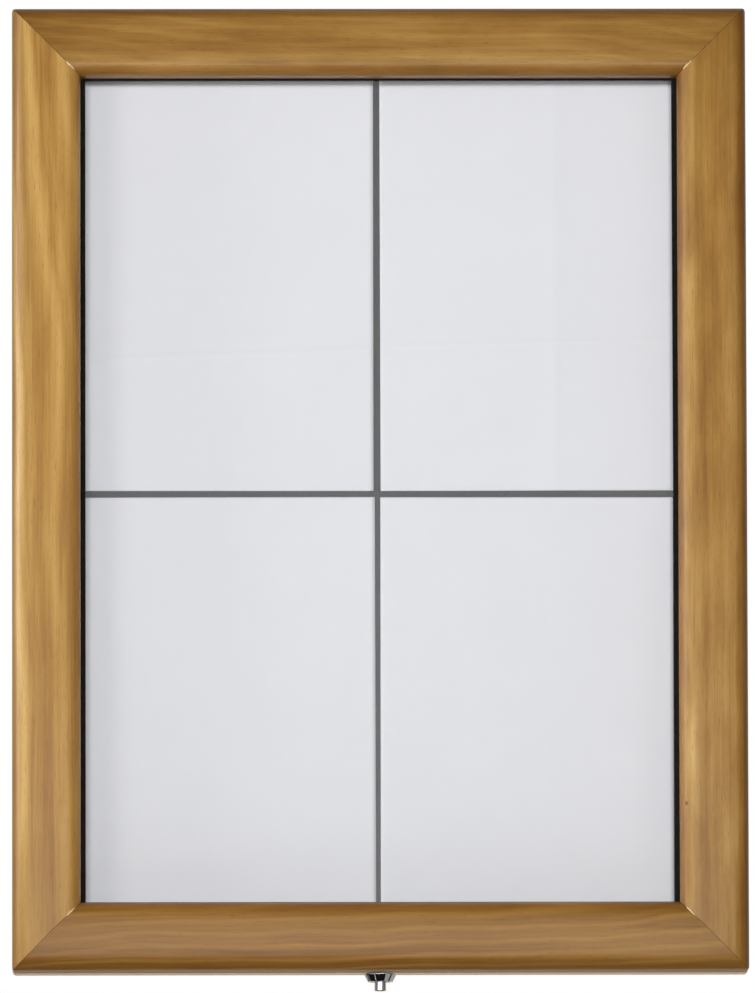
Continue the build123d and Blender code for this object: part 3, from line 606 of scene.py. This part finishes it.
# Painted sheet: a dark grey with the fine orange peel of sprayed paint and a few lighter specks.
def greyPaint():
    material, tree, shader, place = startMaterial("greyPaint", {
        "Roughness": 0.5, "Specular IOR Level": 0.4})
    peel = noiseAt(tree, place, 900.0, 2.0)
    cloud = noiseAt(tree, place, 9.0, 4.0)
    specks = addNode(tree, "TexVoronoi", {"Vector": place, "Scale": 160.0}).outputs["Distance"]
    colour = colourRamp(tree, cloud, [(0.3, (0.031, 0.0325, 0.035)), (0.7, (0.041, 0.0425, 0.045))])
    colour = blendColours(tree, colourRamp(tree, specks, [(0.03, (0.5,) * 3), (0.07, (0.0,) * 3)]), colour,
                          (0.11, 0.112, 0.115))
    tree.links.new(colour, shader.inputs["Base Color"])
    tree.links.new(calc(tree, "MULTIPLY_ADD", peel, 0.2, 0.4), shader.inputs["Roughness"])
    addBump(tree, shader, peel, 0.00004, 0.5)
    return material


# Plated metal: a clean metal with patches of slightly different tone and fine scratches turned round it.
def platedMetal(name, dark, bright, roughness, grain=900.0, scratch=0.10):
    material, tree, shader, place = startMaterial(name, {"Metallic": 1.0, "Roughness": roughness})
    patches = noiseAt(tree, place, grain * 0.2, 4.0)
    scratches = noiseAt(tree, stretched(tree, place, (grain * 0.5, grain * 0.5, grain * 4)), 1.0, 4.0, 0.7)
    shade = calc(tree, "ADD", calc(tree, "MULTIPLY", patches, 0.7), calc(tree, "MULTIPLY", scratches, 0.3))
    tree.links.new(colourRamp(tree, shade, [(0.3, dark), (0.7, bright)]), shader.inputs["Base Color"])
    tree.links.new(calc(tree, "MULTIPLY_ADD", scratches, scratch, roughness - scratch / 2, clamp=True),
                   shader.inputs["Roughness"])
    addBump(tree, shader, scratches, 0.00001, 0.4)
    return material


dress("mitre_biscuits", pressedBeech())
aluminiumAlong = anodisedAluminium("aluminiumAlong", upright=False)
aluminiumUpright = anodisedAluminium("aluminiumUpright", upright=True)
chromePlate = platedMetal("chromePlate", (0.60, 0.605, 0.615), (0.74, 0.745, 0.755), 0.09, scratch=0.06)
plugChrome = platedMetal("plugChrome", (0.355, 0.355, 0.35), (0.455, 0.455, 0.45), 0.14, scratch=0.08)
zincPlate = platedMetal("zincPlate", (0.40, 0.41, 0.42), (0.60, 0.61, 0.62), 0.34, scratch=0.18)
hingeSteel = platedMetal("hingeSteel", (0.46, 0.46, 0.455), (0.64, 0.64, 0.635), 0.28, scratch=0.16)
greyPanelPaint = greyPaint()
for nodeName, material in {
    "case_rail_top": aluminiumAlong, "case_rail_bottom": aluminiumAlong,
    "case_rail_left": aluminiumUpright, "case_rail_right": aluminiumUpright,
    "back_panel": greyPanelPaint, "back_panel_screws": zincPlate,
    "corner_keys": zincPlate, "corner_key_screws": zincPlate,
    "pane_clips": zincPlate, "pane_clip_screws": zincPlate,
    "lock_keeper": zincPlate, "lock_keeper_screws": zincPlate,
    "lock_housing": zincPlate, "lock_nut": zincPlate, "lock_cam": zincPlate, "lock_cam_screw": zincPlate,
    "hinge_case_leaf": hingeSteel, "hinge_door_leaf": hingeSteel, "hinge_pin": hingeSteel,
    "hinge_case_screws": hingeSteel, "hinge_door_screws": hingeSteel,
    "lock_plug": plugChrome,
}.items():
    dress(nodeName, material)
print("metals dressed")


bezel = {
    "radius": 0.01145,
    "tipRadius": 0.0088,
    "rim": 0.0006,
    "height": 0.0058,
    "soft": 0.00025,
    "spigotRadius": 0.00605,
    "spigotHeight": 0.003,
    "boreRadius": 0.00416,
}


# The bezel is turned: a closed outline of (radius, drop) pairs, carried once round the upright axis.
def turnedPiece(name, centre, outline, around=96):
    angle = np.arange(around) * (2 * math.pi / around)
    radius, drop = outline[:, 0][None, :], outline[:, 1][None, :]
    points = np.stack([centre[0] + radius * np.cos(angle)[:, None],
                       centre[1] + radius * np.sin(angle)[:, None],
                       centre[2] - np.broadcast_to(drop, (around, outline.shape[0]))], -1)
    return makePiece(name, points, gridFaces(around, outline.shape[0], wrapRows=True, wrapColumns=True))


# Each corner with a radius becomes a quadratic curve between two points that far along its sides.
def softCorners(outline, radii, count=5):
    soft = []
    for index, (point, radius) in enumerate(zip(outline, radii)):
        point = np.array(point)
        if radius == 0:
            soft.append(point[None, :])
            continue
        before = np.array(outline[index - 1]) - point
        after = np.array(outline[(index + 1) % len(outline)]) - point
        start = point + before / np.linalg.norm(before) * radius
        end = point + after / np.linalg.norm(after) * radius
        t = np.linspace(0, 1, count)[:, None]
        soft.append((1 - t)**2 * start + 2 * t * (1 - t) * point + t**2 * end)
    return np.vstack(soft)


bezelLow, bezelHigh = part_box("lock_bezel")
bezelMiddle = (bezelLow + bezelHigh) / 2
bezelTop = (bezelMiddle[0], bezelMiddle[1], bezelHigh[2])
b = bezel
bezelOutline = softCorners(
    [(b["spigotRadius"], 0.0), (b["radius"], 0.0), (b["radius"], b["rim"]), (b["tipRadius"], b["height"]),
     (b["boreRadius"], b["height"]), (b["boreRadius"], b["spigotHeight"]),
     (b["spigotRadius"], b["spigotHeight"])],
    [0, b["soft"] * 0.6, b["soft"], b["soft"] * 2, b["soft"], 0, 0])
lockBezel = turnedPiece("lockBezelCone", bezelTop, bezelOutline)
lockBezel.data.materials.append(chromePlate)
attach(lockBezel, "case")
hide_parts("lock_bezel")
print("lock bezel made")


studio = {
    "floorLevel": -1.50,
    "floorSize": 60.0,
    "floorGlow": 0.70,
    "ambient": 0.06,
}


# A plain flat square of floor, pale for the camera, that takes the shadow and is see-through from beneath.
def paleFloor():
    mesh = bpy.data.meshes.new("paleFloor")
    size, level = studio["floorSize"], studio["floorLevel"]
    mesh.from_pydata([(-size, -size, level), (size, -size, level), (size, size, level), (-size, size, level)],
                     [], [(0, 1, 2, 3)])
    floor = bpy.data.objects.new("paleFloor", mesh)
    bpy.context.scene.collection.objects.link(floor)
    material, tree, shader, place = startMaterial("floorPaint", {
        "Roughness": 0.9, "Emission Color": (1.0, 1.0, 1.0, 1.0)})
    mottle = noiseAt(tree, place, 6.0, 4.0)
    colour = colourRamp(tree, mottle, [(0.2, (0.83,) * 3), (0.8, (0.85,) * 3)])
    tree.links.new(colour, shader.inputs["Base Color"])
    seen = seenRay(tree)
    tree.links.new(calc(tree, "MULTIPLY", seen, studio["floorGlow"]), shader.inputs["Emission Strength"])
    beneath = addNode(tree, "BsdfTransparent", {"Color": (1.0, 1.0, 1.0, 1.0)})
    mix = addNode(tree, "MixShader", {0: addNode(tree, "NewGeometry").outputs["Backfacing"],
                                      1: shader.outputs[0], 2: beneath.outputs[0]})
    tree.links.new(mix.outputs[0], tree.nodes["Material Output"].inputs["Surface"])
    mesh.materials.append(material)


def areaLamp(name, place, target, size, power, colour=(1.0, 1.0, 1.0)):
    lamp = bpy.data.lights.new(name, "AREA")
    lamp.shape = "RECTANGLE"
    lamp.size, lamp.size_y = size
    lamp.energy = power
    lamp.color = colour
    holder = bpy.data.objects.new(name, lamp)
    bpy.context.scene.collection.objects.link(holder)
    holder.location = place
    holder.rotation_euler = (Vector(target) - Vector(place)).to_track_quat("-Z", "Y").to_euler()
    holder.visible_camera = False
    return holder


# A dark or grey card that only mirrors see, as a studio hangs up beside polished metal.
def darkCard(name, corners, glow=0.0, hue=(1.0, 1.0, 1.0), shades=False):
    mesh = bpy.data.meshes.new(name)
    mesh.from_pydata(corners, [], [(0, 1, 2, 3)])
    card = bpy.data.objects.new(name, mesh)
    bpy.context.scene.collection.objects.link(card)
    material, tree, shader, place = startMaterial(name + "Felt", {
        "Roughness": 1.0, "Specular IOR Level": 0.0, "Emission Color": (*hue, 1.0),
        "Emission Strength": glow})
    felt = noiseAt(tree, place, 300.0, 3.0)
    colour = colourRamp(tree, felt, [(0.3, (0.012,) * 3), (0.7, (0.02,) * 3)])
    tree.links.new(colour, shader.inputs["Base Color"])
    mesh.materials.append(material)
    card.visible_camera = card.visible_diffuse = card.visible_transmission = False
    card.visible_shadow = shades


# The room is an even pale grey for light and plain white where it is seen, mirrored or seen through glass.
def whiteRoom():
    world = bpy.data.worlds.new("whiteRoom")
    world.use_nodes = True
    tree = world.node_tree
    tree.nodes.clear()
    seen = seenRay(tree)
    light = addNode(tree, "Background", {"Color": (0.96, 0.98, 1.0, 1.0), "Strength": studio["ambient"]})
    white = addNode(tree, "Background", {"Color": (1.0, 1.0, 1.0, 1.0), "Strength": 1.0})
    mix = addNode(tree, "MixShader", {0: seen, 1: light.outputs[0], 2: white.outputs[0]})
    out = addNode(tree, "OutputWorld")
    tree.links.new(mix.outputs[0], out.inputs["Surface"])
    bpy.context.scene.world = world


# Each lamp's kind, place, target, size, watts and colour. No mirror sees a light, and only mirrors see a
# sheen. The bounce is seen by both.
middle, foot = (0, 0, 0), (0, -0.02, -0.35)
lamps = {
    "frontLamp": ("light", (-0.23, -2.3, 0.33), middle, (0.7, 0.24), 37.0, (1.0, 1.0, 1.0)),
    "keyLamp": ("light", (-1.55, -2.2, 0.05), middle, (0.7, 1.0), 10.5, (1.0, 0.99, 0.97)),
    "fillLamp": ("light", (1.7, -2.6, 0.1), middle, (0.7, 0.9), 3.2, (0.84, 0.89, 1.0)),
    "bounceLamp": ("both", (0.0, 0.75, -1.05), foot, (1.4, 0.6), 5.3, (1.0, 0.86, 0.67)),
    "leftSheen": ("sheen", (-1.8, -0.60, 0.17), middle, (1.2, 0.5), 21.0, (1.0, 1.0, 1.0)),
    "lowSheen": ("sheen", (-0.1, -1.25, -0.28), middle, (1.2, 0.14), 8.5, (1.0, 1.0, 1.0)),
    "sideLamp": ("light", (-2.6, -0.75, 0.0), middle, (0.8, 1.2), 19.0, (1.0, 1.0, 1.0)),
    "backLeftLamp": ("light", (-1.1, 4.2, 0.1), middle, (1.6, 1.6), 32.0, (1.0, 1.0, 1.0)),
    "backRightLamp": ("light", (1.3, 4.2, 0.3), middle, (1.6, 1.6), 32.0, (1.0, 1.0, 1.0)),
}
paleFloor()
whiteRoom()
for name, (kind, place, target, size, power, colour) in lamps.items():
    lamp = areaLamp(name, place, target, size, power, colour)
    lamp.visible_transmission = kind == "both"
    lamp.visible_glossy = kind != "light"
    lamp.visible_diffuse = kind != "sheen"


# A wedge of a flat ring under the lock, between two bearings from the front.
def lowWedge(name, bearings, glow=0.0, reach=(0.06, 2.0), level=-0.95):
    a, b = (math.radians(bearing) for bearing in bearings)
    corners = [(size * math.sin(turn), -size * math.cos(turn), level)
               for size, turn in ((reach[0], a), (reach[1], a), (reach[1], b), (reach[0], b))]
    darkCard(name, corners, glow)


def levelCard(name, left, right, nearest, farthest, level, glow):
    darkCard(name, [(left, nearest, level), (right, nearest, level), (right, farthest, level),
                    (left, farthest, level)], glow)


def sideCard(name, x, nearest, farthest, low, high, glow):
    darkCard(name, [(x, nearest, low), (x, farthest, low), (x, farthest, high), (x, nearest, high)], glow)


def facingCard(name, left, right, y, low, high, glow, hue=(1.0, 1.0, 1.0), shades=False):
    darkCard(name, [(left, y, low), (right, y, low), (right, y, high), (left, y, high)], glow, hue, shades)


lowWedge("lowCardMiddle", (-48.5, 47))
lowWedge("lowCardLeft", (-108, -52))
lowWedge("lowCardRight", (47, 90), 0.40)
lowWedge("lowCardFarRight", (90, 104))
levelCard("backLowCard", -1.3, 0.85, 0.06, 1.7, -1.0, 0.12)
levelCard("backRightCard", 0.85, 1.85, 0.06, 1.7, -1.0, 0.42)
sideCard("leftCard", -1.9, -0.2, 1.2, -0.5, 1.9, 0.45)
sideCard("rightCard", 1.9, -1.6, 1.2, -0.5, 1.9, 0.40)
sideCard("leftLowCard", -1.9, -0.2, 1.5, -1.4, -0.5, 0.0)
sideCard("leftBackCard", -1.9, 1.5, 2.6, -1.4, -0.5, 0.42)
sideCard("rightFrontCard", 1.9, -1.6, 0.2, -1.4, -0.5, 0.0)
sideCard("rightLowCard", 1.9, 0.2, 2.6, -1.4, -0.5, 0.42)
facingCard("sideFlag", -0.275, -0.85, -0.034, -0.42, 0.42, 0.45, shades=True)  # shades the metal's left side
levelCard("topCard", -1.9, 1.9, -1.6, 1.2, 1.9, 0.50)
facingCard("woodWall", -1.7, 1.7, 2.4, -1.3, 0.72, 0.50, hue=(1.0, 0.70, 0.42))


cameraFit = {
    "place": (-0.1466, -12.0, -1.2301),
    "tilt": 0.10202,
    "turn": 0.01213,
    "roll": -0.00238,
    "lens": 609.13,
}


# The view direction from turn and tilt, with right and up turned about it by the roll.
def placeCamera(v):
    lens = bpy.data.cameras.new("photoCamera")
    lens.lens, lens.sensor_width = v["lens"], 36.0
    lens.clip_start, lens.clip_end = 0.1, 200.0
    ahead = Vector((math.sin(v["turn"]) * math.cos(v["tilt"]),
                    math.cos(v["turn"]) * math.cos(v["tilt"]), math.sin(v["tilt"])))
    right = Vector((math.cos(v["turn"]), -math.sin(v["turn"]), 0.0))
    up = right.cross(ahead)
    rolledRight = right * math.cos(v["roll"]) + up * math.sin(v["roll"])
    rolledUp = up * math.cos(v["roll"]) - right * math.sin(v["roll"])
    camera = bpy.data.objects.new("photoCamera", lens)
    bpy.context.scene.collection.objects.link(camera)
    facing = Matrix((rolledRight, rolledUp, -ahead)).transposed().to_4x4()
    camera.matrix_world = Matrix.Translation(Vector(v["place"])) @ facing
    bpy.context.scene.camera = camera


placeCamera(cameraFit)
bpy.context.scene.view_settings.view_transform = "Standard"
print("studio and camera set")
